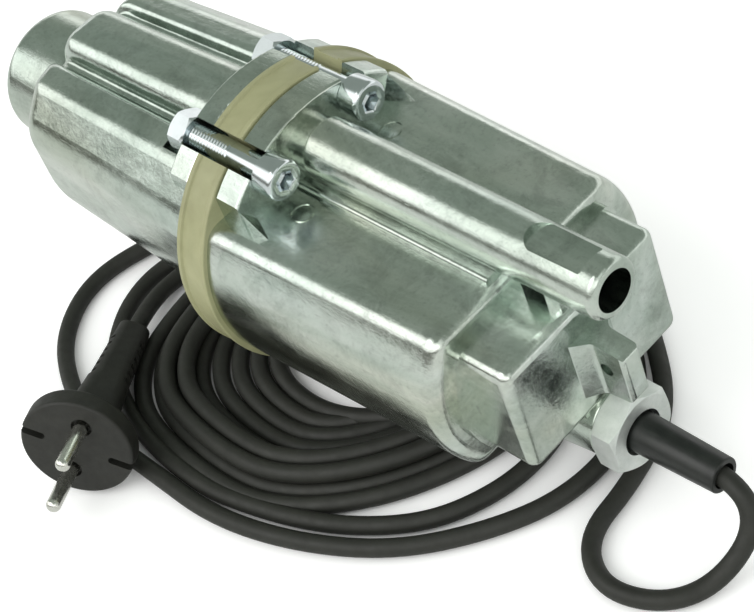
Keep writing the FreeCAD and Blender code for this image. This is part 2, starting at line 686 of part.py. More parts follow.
def diaphragm_ring():
    """support ring that presses the diaphragm's rim on its seat"""
    front = DIAPHRAGM_X + DIAPHRAGM_THICK
    return tube(DIAPHRAGM_RADIUS + RING_STEP - GAP, DIAPHRAGM_RADIUS - RING_WIDTH, front, -GASKET_WIDTH / 2)


def diaphragm_washers():
    near = tube(9.0, ROD_RADIUS, DIAPHRAGM_X + 6.4, DIAPHRAGM_X + 7.4)
    far = tube(9.0, ROD_RADIUS, DIAPHRAGM_X + 0.1, DIAPHRAGM_X + 1.1)
    return Part.Compound([near, far])


def piston_sleeve():
    return tube(6.5, ROD_RADIUS, PISTON_X + 7.5, DIAPHRAGM_X + 0.1)


def piston():
    """rubber piston: a dished disc with a thin flexible rim"""
    rear = PISTON_X
    front = rear + PISTON_THICK - 1
    rim = PISTON_RADIUS - 5
    return turned([(rear, ROD_RADIUS, 0), (rear, 12.0, 1), (rear - 2.5, rim, 1),
                   (rear - 2.5, PISTON_RADIUS, 0.8), (rear + 0.5, PISTON_RADIUS, 0.8), (rear + 2.5, rim, 1), (front, 12.0, 1),
                   (front, ROD_RADIUS, 0)])


def adjusting_shims():
    start = PISTON_X + PISTON_THICK - 1
    shims = [tube(9.0, ROD_RADIUS, start + i * 0.5, start + (i + 1) * 0.5) for i in range(3)]
    return Part.Compound(shims)


def piston_washer():
    return tube(10.0, ROD_RADIUS, PISTON_X - 1.6, PISTON_X)


def rod_nuts():
    start = PISTON_X - 1.6
    bore = rod(ROD_RADIUS, ROD_START - 5, 0)
    thick = 4.2
    nuts = [hexagon(13.0, start - thick * (i + 1), start - thick * i, 0, 0, 0.6).cut(bore) for i in range(2)]
    return Part.Compound(nuts)


def inlet_valve():
    """rubber disc that closes the intake holes from inside"""
    seat = -HALF_LENGTH + PORT_DEPTH + PORT_WEB
    start = seat + GAP
    bore = VALVE_SHANK + GAP
    return turned([(start, bore, 0), (start, 13.2, 0.8), (start + 2.4, 13.2, 0.8), (start + 3.6, 6.0, 1),
                   (start + 3.6, bore, 0)])


def valve_screw():
    """screw through the web that guides the valve disc, with its limiting head"""
    web_out = -HALF_LENGTH + PORT_DEPTH
    seat = web_out + PORT_WEB
    shank = rod(VALVE_SHANK, web_out - VALVE_SHANK_TIP, seat + 7.2)
    head = turned([(seat + 6.2, 0, 0), (seat + 6.2, 6.2, 0.8), (seat + 9.0, 6.2, 1.2), (seat + 9.0, 0, 0)])
    return shank.fuse(head).removeSplitter()


def valve_nut():
    web_out = -HALF_LENGTH + PORT_DEPTH
    bore = rod(VALVE_SHANK, web_out - VALVE_NUT - 1, web_out + 1)
    return hexagon(9.0, web_out - VALVE_NUT, web_out, 0, 0, 0.5).cut(bore)


def plug_frame():
    """placement of the plug: its own X along the pins, its own Z through both pins"""
    along = V(PLUG_POINT).normalize()
    up = (PLUG_PIN_LINE - along * along.dot(PLUG_PIN_LINE)).normalize()
    side = up.cross(along)
    turn = FreeCAD.Rotation(along, side, up, "XYZ")
    return FreeCAD.Placement(PLUG_FACE, turn)


def plug_body():
    """round contour plate with two key slots, a tapered grip and a ribbed neck"""
    plate = turned([(-PLUG_PLATE, 0, 0), (-PLUG_PLATE, PLUG_RADIUS, 1.5), (0, PLUG_RADIUS, 1.2), (0, 0, 0)])
    for side in (-1, 1):
        slot = prism([(side * (PLUG_RADIUS - 8.0), -1.3, 1.2), (side * (PLUG_RADIUS - 8.0), 1.3, 1.2),
                      (side * (PLUG_RADIUS + 1), 1.3, 0), (side * (PLUG_RADIUS + 1), -1.3, 0)],
                     place_yz(-3.5), V(5, 0, 0))
        plate = plate.cut(slot)
        plate = plate.cut(rod(PIN_RADIUS + 1.0, -1.6, 1, 0, side * PIN_SPACING / 2))
    grip = Part.makeLoft([rounded_box(-PLUG_PLATE + 1, 10.0, 7.2, 4), rounded_box(-18.0, 8.0, 6.8, 4),
                          rounded_box(-PLUG_BODY_END, 7.0, NECK_START, 4)], True, False)
    neck = Part.makeLoft([rounded_box(-PLUG_BODY_END, NECK_START, NECK_START - 0.2, 4),
                          rounded_box(-PLUG_LENGTH, NECK_END, NECK_END, 3.5)], True, True)
    for i in range(RIB_COUNT):
        start = -PLUG_BODY_END - 3.0 - i * RIB_PITCH
        taper = (NECK_START - NECK_END) * (i * RIB_PITCH + 3.0) / (PLUG_LENGTH - PLUG_BODY_END)
        reach = NECK_START - taper - RIB_DEPTH
        for low in (reach, -reach - RIB_DEPTH - 1):
            corner = V(start, low, -NECK_START)
            neck = neck.cut(Part.makeBox(RIB_PITCH * 0.42, RIB_DEPTH + 1, 2 * NECK_START, corner))
    shape = plate.fuse([grip, neck]).removeSplitter()
    shape.Placement = plug_frame()
    return shape


def rounded_box(x, half_side, half_up, edge):
    return outline([(-half_side, -half_up, edge), (half_side, -half_up, edge), (half_side, half_up, edge),
                    (-half_side, half_up, edge)], place_yz(x))


def plug_pins():
    pins = []
    for side in (-1, 1):
        pin = turned([(-1.6, 0, 0), (-1.6, PIN_RADIUS, 0), (PIN_LENGTH, PIN_RADIUS, 2.0), (PIN_LENGTH, 0, 0)],
                     side * PIN_SPACING / 2)
        pin.Placement = plug_frame()
        pins.append(pin)
    return Part.Compound(pins)


def coil_wall(left, right, radius, z):
    """oval plan outline: two half circles joined by straight sides"""
    low = V(left, COIL_Y - radius, z)
    high = V(left, COIL_Y + radius, z)
    far_low = V(right, COIL_Y - radius, z)
    far_high = V(right, COIL_Y + radius, z)
    near_end = Part.Arc(high, V(left - radius, COIL_Y, z), low).toShape()
    far_end = Part.Arc(far_low, V(right + radius, COIL_Y, z), far_high).toShape()
    sides = [Part.LineSegment(low, far_low).toShape(), Part.LineSegment(far_high, high).toShape()]
    return Part.Wire([near_end, sides[0], far_end, sides[1]])


def cable_coil():
    """outer shape of the coiled part of the cable, flat on the floor"""
    outer = Part.Face(coil_wall(COIL_LEFT, COIL_RIGHT, COIL_OUTER, FLOOR))
    inner = Part.Face(coil_wall(COIL_INNER_LEFT, COIL_INNER_RIGHT, COIL_INNER, FLOOR - 1))
    ring = outer.extrude(V(0, 0, COIL_HEIGHT)).cut(inner.extrude(V(0, 0, COIL_HEIGHT + 2)))
    rims = [e for e in ring.Edges if abs(e.BoundBox.ZMax - e.BoundBox.ZMin) < 0.5]
    return ring.makeFillet(COIL_EDGE, rims)


def cable_tube(name, route, radius=CABLE_RADIUS):
    """straight runs joined by tangent arcs; prints each arc's radius and the length"""
    edges = []
    radii = []
    start = route[0]
    for before, here, after in zip(route, route[1:], route[2:]):
        to_before = (before - here).normalize()
        to_after = (after - here).normalize()
        half_turn = (math.pi - to_before.getAngle(to_after)) / 2
        back = 0.45 * min((before - here).Length, (after - here).Length)
        bend = back / math.tan(half_turn)
        arc_start = here + to_before * back
        arc_end = here + to_after * back
        inward = (to_before + to_after).normalize()
        middle = here + inward * (bend / math.cos(half_turn) - bend)
        edges.append(Part.LineSegment(start, arc_start).toShape())
        edges.append(Part.Arc(arc_start, middle, arc_end).toShape())
        radii.append(round(bend, 1))
        start = arc_end
    edges.append(Part.LineSegment(start, route[-1]).toShape())
    path = Part.Wire(edges)
    along = (route[1] - route[0]).normalize()
    section = Part.Wire([Part.makeCircle(radius, route[0], along)])
    solid = path.makePipeShell([section], True, False)
    wanted = math.pi * radius ** 2 * path.Length
    print(f"{name}: length {path.Length:.0f}, radii {radii}, volume ratio {solid.Volume / wanted:.4f}")
    return solid


def floor_points(places):
    return [V(x, y, CABLE_UP) for x, y in places]


def power_cable():
    """from the boot down to the floor, once round the free loop, and into the coil"""
    drop = [V(BOOT_END - BOOT_BORE_DEPTH, 0, GLAND_UP), V(163.0, 0, GLAND_UP), V(168.5, -4.5, -42.6)]
    loop = [(164.5, -20.0), (155.5, -33.5), (137.2, -38.6), (122.4, -27.6), (121.2, -5.0), (114.0, 22.0),
            (88.0, 42.0)]
    return cable_tube("power_cable", drop + floor_points(loop))


def outer_turn():
    """loose outermost turn: out of the coil under the intake, past the plug and round the front"""
    route = [(-56.0, 30.0), (-76.5, 9.0), (-92.0, -16.5), (-98.0, -41.0), (-86.5, -63.5), (-64.5, -77.5),
             (-40.5, -84.0), (-12.5, -85.0), (17.0, -89.0), (47.0, -83.0), (75.5, -67.5), (98.0, -45.5),
             (111.0, -21.5), (110.6, 4.0), (98.0, 27.0)]
    return cable_tube("outer_turn", floor_points(route))


def plug_cable():
    """out of the coil's left side to the plug's neck"""
    along = V(PLUG_POINT).normalize()
    neck_end = PLUG_FACE - along * PLUG_LENGTH
    route = [neck_end, neck_end - along * PLUG_CABLE_LEAD] + floor_points([(-71.9, -14.0), (-64.0, 7.0)])
    return cable_tube("plug_cable", route)


def save(name, shape):
    if shape.ShapeType == "Compound" and len(shape.Solids) == 1:
        shape = shape.Solids[0]
    valid = shape.isValid()
    box = shape.BoundBox
    print(f"{name:20s} valid={valid} solids={len(shape.Solids)} volume={shape.Volume:.0f} "
          f"x {box.XMin:.1f}..{box.XMax:.1f} y {box.YMin:.1f}..{box.YMax:.1f} z {box.ZMin:.1f}..{box.ZMax:.1f}")
    shape.exportStep(f"parts/{name}.step")


NODES = [
    ("intake_housing", intake_housing),
    ("motor_housing", motor_housing),
    ("joint_gasket", joint_gasket),
    ("clamp_screws", lambda: Part.Compound([clamp_screw(y, z) for y, z in screw_places()])),
    ("clamp_nuts", lambda: Part.Compound([clamp_nut(y, z) for y, z in screw_places()])),
    ("gland_nut", gland_nut),
    ("gland_washer", gland_washer),
    ("gland_seal", gland_seal),
    ("cable_boot", cable_boot),
    ("magnet_core", magnet_core),
    ("coil_bobbins", coil_bobbins),
    ("coil_windings", coil_windings),
    ("potting_compound", potting_compound),
    ("armature", armature),
    ("vibrator_rod", vibrator_rod),
    ("shock_absorber", shock_absorber),
    ("absorber_washers", absorber_washers),
    ("spacer_sleeve", spacer_sleeve),
    ("diaphragm", diaphragm),
    ("diaphragm_ring", diaphragm_ring),
    ("diaphragm_washers", diaphragm_washers),
    ("piston_sleeve", piston_sleeve),
    ("piston", piston),
    ("adjusting_shims", adjusting_shims),
    ("piston_washer", piston_washer),
    ("rod_nuts", rod_nuts),
    ("inlet_valve", inlet_valve),
    ("valve_screw", valve_screw),
    ("valve_nut", valve_nut),
    ("power_cable", power_cable),
    ("cable_coil", cable_coil),
    ("outer_turn", outer_turn),
    ("plug_cable", plug_cable),
    ("plug_body", plug_body),
    ("plug_pins", plug_pins),
]

for node, build in NODES:
    save(node, build())
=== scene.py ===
import bmesh
import bpy
import json
import math
from mathutils import Euler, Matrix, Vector


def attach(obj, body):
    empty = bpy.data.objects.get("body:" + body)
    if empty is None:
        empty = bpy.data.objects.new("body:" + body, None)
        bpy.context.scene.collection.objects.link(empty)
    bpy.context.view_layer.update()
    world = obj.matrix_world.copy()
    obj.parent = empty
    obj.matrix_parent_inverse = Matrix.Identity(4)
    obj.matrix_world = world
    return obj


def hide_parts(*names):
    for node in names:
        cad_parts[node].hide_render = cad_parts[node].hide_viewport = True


# Looks of the submersible vibratory pump, in metres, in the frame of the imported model.
# X runs along the pump towards the cable gland and Z up through the discharge pipe.

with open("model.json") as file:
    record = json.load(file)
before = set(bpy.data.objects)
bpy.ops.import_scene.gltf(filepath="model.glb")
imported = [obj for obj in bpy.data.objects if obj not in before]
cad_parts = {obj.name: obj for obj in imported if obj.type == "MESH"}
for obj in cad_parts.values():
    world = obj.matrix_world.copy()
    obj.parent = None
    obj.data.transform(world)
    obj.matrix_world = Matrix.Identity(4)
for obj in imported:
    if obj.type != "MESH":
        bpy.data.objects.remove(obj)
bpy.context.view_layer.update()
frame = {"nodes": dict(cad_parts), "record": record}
nodes = frame["nodes"]
MM = 0.001

# camera, fitted to the photograph
CAMERA_PLACE = Vector((446.96, -243.84, 460.00)) * MM
CAMERA_TURN = (42.4498, 15.8627, 44.0614)
CAMERA_LENS = 105.04

# surroundings: plain level, then bands along the pump as (degrees from straight up towards the
# front, degrees to the band's soft edge and to its full level, colour), then lamps as (name,
# place and size in metres, power in watts)
STUDIO_LEVEL = (0.31, 0.35, 0.31)
STUDIO_BANDS = [(50.0, 30.0, 12.0, (1.7, 1.7, 1.66)),
                (92.0, 18.0, 10.0, (0.20, 0.20, 0.18)),
                (-84.0, 22.0, 10.0, (1.3, 1.3, 1.28))]
STUDIO_LAMPS = [("key", (-0.1, -0.95, 1.15), 0.9, 5), ("fill", (1.3, -0.1, 0.7), 0.9, 1.6)]

# floor: its own light as the camera sees it and in reflections, then in metres how far the shade
# near the object reaches, half the floor's width and how far it lies below the cable
FLOOR_SEEN = 0.6
FLOOR_MIRRORED = 0.12
FLOOR_SHADE_REACH = 0.03
FLOOR_HALF_WIDTH = 4.0
FLOOR_DROP = 0.0002

# sockets of a Mix node that mixes colours
MIX_SHARE = 0
MIX_FIRST = 6
MIX_SECOND = 7
MIX_RESULT = 2

# the cable's route, as in the part's source, in millimetres
FLOOR = -56.0
CABLE_RADIUS = 3.0
CABLE_UP = FLOOR + CABLE_RADIUS
GLAND_UP = -30.2
CABLE_START = 150.6
PLUG_FACE = Vector((-27.9, -97.6, -35.9))
PLUG_POINT = Vector((0.542, -0.816, 0.201)).normalized()
PLUG_LENGTH = 58.0
PLUG_CABLE_LEAD = 18.0

# turns of the coil, laid anticlockwise from the outside in and then on top of each other; a turn
# has COIL_STEPS points, the last one COIL_LAST_STEPS, and each has a reach of its own to the right,
# back, left and front, which comes in to the next one's on the right after COIL_NEXT_RIGHT_AFTER
COIL_MIDDLE = (15.0, -2.0)
COIL_STEPS = 16
COIL_FLOOR_TURNS = 8
COIL_LAST_STEPS = 7
COIL_NEXT_RIGHT_AFTER = 12
COIL_PITCH = 5.6
COIL_REACH = (86.0, 55.0, -60.5, -75.5)
COIL_TOP = [(60.0, 36.0, -44.0, -61.0), (66.0, 43.0, -50.0, -67.0), (73.0, 50.0, -57.0, -73.0)]
# squareness of the turns, 2 for an ellipse: on the floor, its loss with each turn, on top, and on
# the right-hand side of them all
COIL_SQUARE_FLOOR = 3.3
COIL_SQUARE_FADE = 0.12
COIL_SQUARE_TOP = 3.4
COIL_SQUARE_RIGHT = 1.8
# the climb onto the turns below, with its start before and its length in turns
COIL_STEP_UP = 5.6
COIL_CLIMB_LEAD = 0.25
COIL_CLIMB_TURNS = 0.4
# unevenness of a hand-laid turn, in two and in three waves round it
COIL_SWAY_TWO = 0.6
COIL_SWAY_THREE = 0.5

# clamp screws, as in the part's source, in millimetres; a share is of the radius or of the pitch
SCREW_SIDE = 18.4
SCREW_UP = 38.9
SCREW_HEAD_END = 24.1
SCREW_BEARING = 16.1
SCREW_TIP = -23.9
SCREW_RADIUS = 4.0
SCREW_HEAD_RADIUS = 6.5
SCREW_TIP_SHARE = 0.6
SCREW_KEY_RADIUS = 3.46
SCREW_KEY_DEPTH = 4.2
SCREW_KEY_EDGE = 0.35
SCREW_KEY_CONE_DEPTH = 1.2
SCREW_KEY_CONE_RADIUS = 0.4
SCREW_SEGMENTS = 48
THREAD_END = 2.0
THREAD_PITCH = 1.25
THREAD_DEPTH = 0.62
THREAD_STEPS = 10
THREAD_RUNOUT = 1.2
THREAD_TIP = 1.0
THREAD_TIP_SHARE = 0.82
THREAD_TIP_GAIN = 0.18
THREAD_CREST_SHARE = 0.1
THREAD_FLANK_SHARE = 0.75

# outline of a screw from the head's face to the thread, as (place along the pump, radius)
SCREW_OUTLINE = (
    (SCREW_HEAD_END, SCREW_HEAD_RADIUS - 1.3),
    (SCREW_HEAD_END - 0.12, SCREW_HEAD_RADIUS - 0.8),
    (SCREW_HEAD_END - 0.45, SCREW_HEAD_RADIUS - 0.35),
    (SCREW_HEAD_END - 0.95, SCREW_HEAD_RADIUS - 0.08),
    (SCREW_HEAD_END - 1.5, SCREW_HEAD_RADIUS),
    (SCREW_BEARING + 0.5, SCREW_HEAD_RADIUS),
    (SCREW_BEARING + 0.15, SCREW_HEAD_RADIUS - 0.1),
    (SCREW_BEARING, SCREW_HEAD_RADIUS - 0.35),
    (SCREW_BEARING, SCREW_RADIUS + 0.4),
    (SCREW_BEARING - 0.4, SCREW_RADIUS),
    (THREAD_END, SCREW_RADIUS),
)


def scene_camera():
    """camera of the photograph"""
    data = bpy.data.cameras.new("camera")
    data.lens = CAMERA_LENS
    camera = bpy.data.objects.new("camera", data)
    camera.location = CAMERA_PLACE
    camera.rotation_euler = Euler([math.radians(a) for a in CAMERA_TURN])
    bpy.context.scene.collection.objects.link(camera)
    bpy.context.scene.camera = camera


class Look:
    """A node material with short calls for the nodes that the looks share."""

    def __init__(self, name, **sockets):
        self.material = bpy.data.materials.new(name)
        self.material.use_nodes = True
        self.tree = self.material.node_tree
        self.shader = self.tree.nodes["Principled BSDF"]
        self.place = self.node("ShaderNodeTexCoord").outputs["Object"]
        for socket, value in sockets.items():
            self.shader.inputs[socket.replace("_", " ")].default_value = value

    def node(self, kind, **values):
        """new node with some of its settings"""
        made = self.tree.nodes.new(kind)
        for name, value in values.items():
            setattr(made, name, value)
        return made

    def feed(self, source, target):
        self.tree.links.new(source, target)

    def stretched(self, scale, turn=(0, 0, 0)):
        """the object's coordinates scaled by axis, for streaks"""
        mapping = self.node("ShaderNodeMapping")
        mapping.inputs["Scale"].default_value = scale
        mapping.inputs["Rotation"].default_value = [math.radians(a) for a in turn]
        self.feed(self.place, mapping.inputs["Vector"])
        return mapping.outputs["Vector"]

    def noise(self, scale, detail, roughness=0.6, distortion=0.0, place=None):
        """cloudy grey levels; scale counts the clouds in a metre"""
        texture = self.node("ShaderNodeTexNoise")
        texture.inputs["Scale"].default_value = scale
        texture.inputs["Detail"].default_value = detail
        texture.inputs["Roughness"].default_value = roughness
        texture.inputs["Distortion"].default_value = distortion
        self.feed(place or self.place, texture.inputs["Vector"])
        return texture.outputs["Fac"]

    def ramp(self, source, *stops):
        """colour ramp through (position, colour or grey level) stops"""
        made = self.node("ShaderNodeValToRGB")
        ramp = made.color_ramp
        while len(ramp.elements) < len(stops):
            ramp.elements.new(0.5)
        for element, (position, colour) in zip(ramp.elements, stops):
            element.position = position
            grey = isinstance(colour, (int, float))
            element.color = (colour, colour, colour, 1) if grey else (*colour, 1)
        self.feed(source, made.inputs["Fac"])
        return made.outputs["Color"]

    def multiplied(self, share, first, second):
        """first colour multiplied by the second, to the given share"""
        made = self.node("ShaderNodeMix", data_type="RGBA", blend_type="MULTIPLY")
        made.inputs[MIX_SHARE].default_value = share
        self.feed(first, made.inputs[MIX_FIRST])
        self.feed(second, made.inputs[MIX_SECOND])
        return made.outputs[MIX_RESULT]

    def math(self, operation, first, second):
        """result of a sum on sockets or numbers"""
        made = self.node("ShaderNodeMath", operation=operation)
        for value, socket in zip((first, second), made.inputs):
            if isinstance(value, bpy.types.NodeSocket):
                self.feed(value, socket)
            else:
                socket.default_value = value
        return made.outputs[0]

    def bump(self, height, depth, strength, under=None):
        """bump of a real depth in millimetres, on top of another bump"""
        made = self.node("ShaderNodeBump")
        made.inputs["Strength"].default_value = strength
        made.inputs["Distance"].default_value = depth * MM
        self.feed(height, made.inputs["Height"])
        if under:
            self.feed(under, made.inputs["Normal"])
        return made.outputs["Normal"]

    def finish(self, colour, roughness, normal):
        """the material, with what was made for it connected to its shader"""
        for source, name in ((colour, "Base Color"), (roughness, "Roughness"), (normal, "Normal")):
            self.feed(source, self.shader.inputs[name])
        return self.material


def cast_aluminium():
    """bright die-cast skin: flow stains drawn along the pump, faint blue and tan tints painted in as
    reflections of the surroundings, soft dents and fine grain
    """
    look = Look("cast_aluminium", Metallic=1.0)
    drawn = look.stretched((10, 34, 34))
    flow = look.noise(1.0, 7, 0.66, 1.2, drawn)
    # painted reflection: broad blue and tan tints in the colour stand in for the surroundings mirrored in the
    # metal
    painted_reflection_clouds = look.noise(1.0, 3, 0.5, 0.8, look.stretched((5, 16, 16)))
    fine = look.noise(700, 5, 0.7)
    grey = look.ramp(flow, (0.32, (0.43, 0.49, 0.43)), (0.5, (0.57, 0.63, 0.57)), (0.66, (0.70, 0.74, 0.69)))
    painted_reflection_tint = look.ramp(painted_reflection_clouds, (0.36, (0.92, 0.97, 1.0)), (0.5, (1.0, 1.0, 1.0)), (0.66, (1.0, 0.93, 0.82)))
    colour = look.multiplied(0.6, grey, painted_reflection_tint)
    blotches = look.ramp(look.noise(90, 6, 0.75, 0.5), (0.34, 0.74), (0.52, 1.0))
    colour = look.multiplied(0.8, colour, blotches)
    specks = look.ramp(fine, (0.30, 0.70), (0.46, 1.0))
    colour = look.multiplied(0.6, colour, specks)
    polish = look.noise(1.0, 6, 0.7, 0.5, look.stretched((40, 130, 130)))
    rough = look.ramp(polish, (0.34, 0.10), (0.66, 0.27))
    scratch_place = look.stretched((60, 900, 900), (0, 4, 7))
    scratches = look.ramp(look.noise(1.0, 3, 0.6, 0.4, scratch_place), (0.60, 1.0), (0.66, 0.0), (0.70, 1.0))
    dents = look.bump(look.noise(38, 3, 0.5, 0.5), 0.5, 0.32)
    peel = look.bump(look.noise(330, 5, 0.68), 0.11, 0.7, dents)
    grain = look.bump(fine, 0.045, 0.7, peel)
    normal = look.bump(scratches, 0.03, 0.3, grain)
    return look.finish(colour, rough, normal)


def zinc_steel():
    """bright zinc plating with a blue cast and small handling marks"""
    look = Look("zinc_steel", Metallic=1.0)
    colour = look.ramp(look.noise(60, 3), (0.3, (0.60, 0.65, 0.66)), (0.7, (0.70, 0.75, 0.77)))
    rough = look.ramp(look.noise(300, 3), (0.3, 0.12), (0.75, 0.22))
    return look.finish(colour, rough, look.bump(look.noise(500, 2), 0.008, 0.4))


def gland_zinc():
    """light matte cast skin of the gland nut"""
    look = Look("gland_zinc", Metallic=1.0)
    colour = look.ramp(look.noise(120, 5, 0.7), (0.3, (0.66, 0.70, 0.67)), (0.7, (0.84, 0.87, 0.85)))
    rough = look.ramp(look.noise(220, 4), (0.3, 0.42), (0.7, 0.62))
    return look.finish(colour, rough, look.bump(look.noise(700, 4, 0.7), 0.05, 0.8))


def gasket_rubber():
    """olive rubber with a soft sheen and pale rubbed spots"""
    look = Look("gasket_rubber", IOR=1.5)
    colour = look.ramp(look.noise(70, 5, 0.6, 0.4), (0.3, (0.31, 0.31, 0.17)), (0.7, (0.41, 0.41, 0.235)))
    rough = look.ramp(look.noise(160, 4), (0.3, 0.36), (0.7, 0.55))
    return look.finish(colour, rough, look.bump(look.noise(260, 4, 0.6), 0.06, 0.5))


def black_rubber():
    """smooth black rubber with faint dust"""
    look = Look("black_rubber", IOR=1.5)
    dust = look.noise(240, 6, 0.75)
    colour = look.ramp(dust, (0.4, (0.007, 0.0085, 0.0075)), (0.75, (0.018, 0.021, 0.018)))
    rough = look.ramp(look.noise(120, 4), (0.3, 0.30), (0.7, 0.48))
    return look.finish(colour, rough, look.bump(look.noise(500, 3), 0.03, 0.4))


def cable_rubber():
    """matte extruded sheath"""
    look = Look("cable_rubber", IOR=1.48)
    colour = look.ramp(look.noise(90, 5, 0.7), (0.3, (0.015, 0.016, 0.0125)), (0.7, (0.025, 0.026, 0.021)))
    rough = look.ramp(look.noise(300, 4), (0.3, 0.52), (0.7, 0.68))
    return look.finish(colour, rough, look.bump(look.noise(1400, 3, 0.6), 0.03, 0.5))


def plug_rubber():
    """moulded grey-black plug with a fine spark-eroded grain"""
    look = Look("plug_rubber", IOR=1.48)
    colour = look.ramp(look.noise(110, 5, 0.7), (0.3, (0.014, 0.0145, 0.012)), (0.7, (0.024, 0.024, 0.020)))
    rough = look.ramp(look.noise(300, 4), (0.3, 0.5), (0.7, 0.66))
    return look.finish(colour, rough, look.bump(look.noise(1800, 3, 0.6), 0.05, 0.7))


def pin_nickel():
    """nickel plating, dulled by use"""
    look = Look("pin_nickel", Metallic=1.0)
    colour = look.ramp(look.noise(200, 4), (0.3, (0.62, 0.62, 0.57)), (0.7, (0.76, 0.76, 0.72)))
    rough = look.ramp(look.noise(500, 4), (0.3, 0.16), (0.7, 0.32))
    return look.finish(colour, rough, look.bump(look.noise(900, 2), 0.02, 0.4))


def simple_finish(name, low, high, metallic, roughness, scale):
    """two-tone grained finish for the pieces held inside"""
    look = Look(name, Metallic=metallic)
    colour = look.ramp(look.noise(scale, 5, 0.65), (0.3, low), (0.7, high))
    rough = look.ramp(look.noise(scale * 3, 3), (0.3, roughness - 0.08), (0.7, roughness + 0.08))
    return look.finish(colour, rough, look.bump(look.noise(scale * 6, 3), 0.04, 0.5))


def paint_nodes():
    """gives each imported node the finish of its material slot"""
    finishes = {
        "cast_aluminium": cast_aluminium(),
        "zinc_steel": zinc_steel(),
        "gland_zinc": gland_zinc(),
        "gasket_rubber": gasket_rubber(),
        "black_rubber": black_rubber(),
        "cable_rubber": cable_rubber(),
        "plug_rubber": plug_rubber(),
        "pin_nickel": pin_nickel(),
    }
    for name, low, high, metallic, roughness, scale in (
            ("core_steel", (0.2, 0.2, 0.21), (0.33, 0.33, 0.34), 1.0, 0.4, 150),
            ("bobbin_plastic", (0.58, 0.53, 0.42), (0.7, 0.66, 0.55), 0.0, 0.45, 90),
            ("winding_copper", (0.42, 0.16, 0.07), (0.62, 0.28, 0.13), 1.0, 0.35, 400),
            ("potting_resin", (0.05, 0.04, 0.035), (0.09, 0.07, 0.06), 0.0, 0.4, 60),
            ("rod_steel", (0.5, 0.51, 0.52), (0.68, 0.69, 0.7), 1.0, 0.28, 250)):
        finishes[name] = simple_finish(name, low, high, metallic, roughness, scale)
    for part in frame["record"]["subparts"]:
        node = nodes[part["node"]]
        node.data.materials.clear()
        node.data.materials.append(finishes[part["material_slot"]])
    return finishes


def floor_route(places):
    """points of a cable that lies on the floor"""
    return [Vector((x, y, CABLE_UP)) for x, y in places]


def oval_point(angle, reach, square, up):
    """point of an oval turn that reaches a different way out to each of its four sides"""
    across, along = math.cos(angle), math.sin(angle)
    right, back, left, front = reach
    side = right - COIL_MIDDLE[0] if across > 0 else COIL_MIDDLE[0] - left
    depth = back - COIL_MIDDLE[1] if along > 0 else COIL_MIDDLE[1] - front
    power = 2 / (COIL_SQUARE_RIGHT if across > 0 else square)
    x = COIL_MIDDLE[0] + side * math.copysign(abs(across) ** power, across)
    y = COIL_MIDDLE[1] + depth * math.copysign(abs(along) ** power, along)
    return Vector((x, y, up))


def floor_turn(turn):
    """how far a turn on the floor reaches to the right, back, left and front"""
    inwards = COIL_PITCH * turn
    right, back, left, front = COIL_REACH
    return (right - inwards, back - inwards, left + inwards, front + inwards)


def coil_turns():
    """points of the coiled part, from its outermost turn to the last one on top"""
    reaches = [floor_turn(turn) for turn in range(COIL_FLOOR_TURNS)] + COIL_TOP
    points = []
    for i in range(1, COIL_STEPS * (len(reaches) - 1) + COIL_LAST_STEPS):
        turn, step = divmod(i, COIL_STEPS)
        reach = list(reaches[turn])
        if step > COIL_NEXT_RIGHT_AFTER and turn + 1 < len(reaches):
            reach[0] = reaches[turn + 1][0]
        angle = 2 * math.pi * step / COIL_STEPS
        climbed = i / COIL_STEPS - COIL_FLOOR_TURNS + COIL_CLIMB_LEAD
        climb = min(1.0, max(0.0, climbed / COIL_CLIMB_TURNS))
        sway = COIL_SWAY_TWO * math.sin(2 * angle) + COIL_SWAY_THREE * math.sin(3 * angle) * (1 + climb)
        fading = COIL_SQUARE_FLOOR - COIL_SQUARE_FADE * turn
        square = fading if turn < COIL_FLOOR_TURNS else COIL_SQUARE_TOP
        point = oval_point(angle, reach, square, CABLE_UP + COIL_STEP_UP * climb)
        points.append(point + Vector((math.cos(angle), math.sin(angle), 0)) * sway)
    return points


def cord_route():
    """the whole cable: drop from the boot, loop, way to the back, two loose turns, coil, run to the plug"""
    drop = [Vector((CABLE_START, 0, GLAND_UP)), Vector((163.0, 0, GLAND_UP)), Vector((168.5, -4.5, -42.6))]
    loop = floor_route([(164.5, -20.0), (155.5, -33.5), (137.2, -38.6), (122.4, -27.6), (121.2, -5.0),
                        (114.0, 22.0), (88.0, 45.0)])
    back = floor_route([(62.0, 61.0), (34.0, 67.5), (6.0, 66.5), (-22.0, 58.0), (-42.0, 44.0)])
    outer = floor_route([(-56.0, 30.0), (-76.5, 9.0), (-92.0, -16.5), (-98.0, -41.0), (-86.5, -63.5),
                         (-64.5, -77.5), (-40.5, -84.0), (-12.5, -84.5), (17.0, -85.5), (47.0, -78.0),
                         (75.5, -63.5), (95.5, -42.5), (108.0, -20.5), (109.5, 4.0)])
    second = floor_route([(100.5, 25.0), (80.0, 42.0), (55.0, 54.5), (30.0, 60.0), (4.0, 59.5), (-20.0, 51.5),
                          (-38.0, 39.0), (-51.0, 24.0), (-66.0, 4.0), (-78.5, -18.0), (-78.0, -38.0),
                          (-65.5, -57.0), (-49.0, -69.0), (-24.0, -77.0), (5.5, -79.3), (24.0, -76.0),
                          (42.0, -71.0), (58.0, -64.0), (74.0, -53.0), (84.0, -40.5), (91.0, -22.0),
                          (90.5, -2.0)])
    neck_end = PLUG_FACE - PLUG_POINT * PLUG_LENGTH
    end = [Vector((-56.5, 14.0, CABLE_UP + 6.0)), Vector((-62.0, -1.0, CABLE_UP + 4.5)),
           Vector((-69.5, -17.0, CABLE_UP)), neck_end - PLUG_POINT * PLUG_CABLE_LEAD, neck_end + PLUG_POINT]
    return drop + loop + back + outer + second + coil_turns() + end


